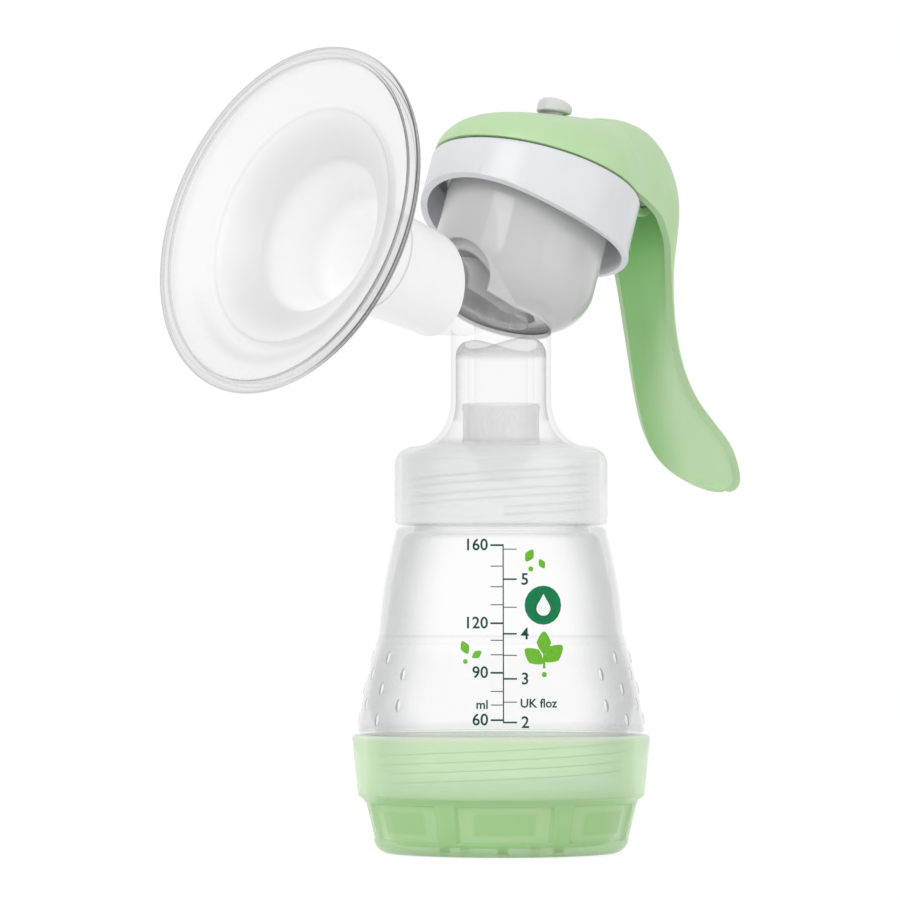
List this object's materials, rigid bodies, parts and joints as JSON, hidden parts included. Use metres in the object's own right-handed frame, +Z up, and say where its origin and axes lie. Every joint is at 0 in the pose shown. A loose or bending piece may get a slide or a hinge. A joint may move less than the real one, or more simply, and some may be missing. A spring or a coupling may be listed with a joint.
{
  "type": "manual breast pump",
  "caption": "Hand breast pump: clear funnel and tilted pump head with a curved squeeze lever, on a tapering milk bottle with a screw-on base cup.",
  "frame": {"origin": "centre of the flat foot of the bottle's base, on the bottle's axis", "axes": "+Z up the bottle's axis; funnel towards -X; squeeze lever towards +X; XZ is the mirror plane"},
  "size_m": [0.1581, 0.0828, 0.1848],
  "materials": {
    "base_green": "satin, translucent",
    "silicone_disc": "matte silicone",
    "bottle_clear": "clear, gloss",
    "body_clear": "clear, gloss",
    "silicone_valve": "matte silicone",
    "funnel_clear": "clear, gloss",
    "silicone_diaphragm": "matte silicone",
    "stem_plastic": "frosted",
    "cover_white": "satin",
    "lever_green": "satin"
  },
  "bodies": {
    "base": {"bottle_base": "base_green", "base_vent_disc": "silicone_disc"},
    "bottle": {"bottle_body": "bottle_clear"},
    "pump": {"pump_body": "body_clear", "pump_cover": "cover_white", "diaphragm": "silicone_diaphragm", "milk_valve": "silicone_valve"},
    "funnel": {"funnel": "funnel_clear"},
    "stem": {"pull_stem": "stem_plastic"},
    "lever": {"pump_lever": "lever_green"}
  },
  "joints": [
    {"name": "bottle_lift", "type": "slide", "parent": "base", "child": "bottle", "axis": [0, 0, 1], "range_m": [0, 0.022]},
    {"name": "pump_lift", "type": "slide", "parent": "bottle", "child": "pump", "axis": [0, 0, 1], "range_m": [0, 0.02]},
    {"name": "funnel_turn", "type": "hinge", "parent": "pump", "child": "funnel", "pos_m": [-0.023, 0, 0.1322], "axis": [-1, 0, 0], "continuous": true},
    {"name": "lever_squeeze", "type": "hinge", "parent": "pump", "child": "lever", "pos_m": [0.04136, 0, 0.15573], "axis": [0, 1, 0], "range_deg": [0, 18], "stiffness_Nm_per_rad": 0.6, "springref_deg": -5.73},
    {"name": "stem_pull", "type": "slide", "parent": "pump", "child": "stem", "axis": [0.3338, 0, 0.9426], "range_m": [0, 0.0093], "deforming": ["diaphragm"]}
  ],
  "couplings": [
    {"joint": "stem_pull", "follows": "lever_squeeze", "m_per_rad": 0.029}
  ]
}
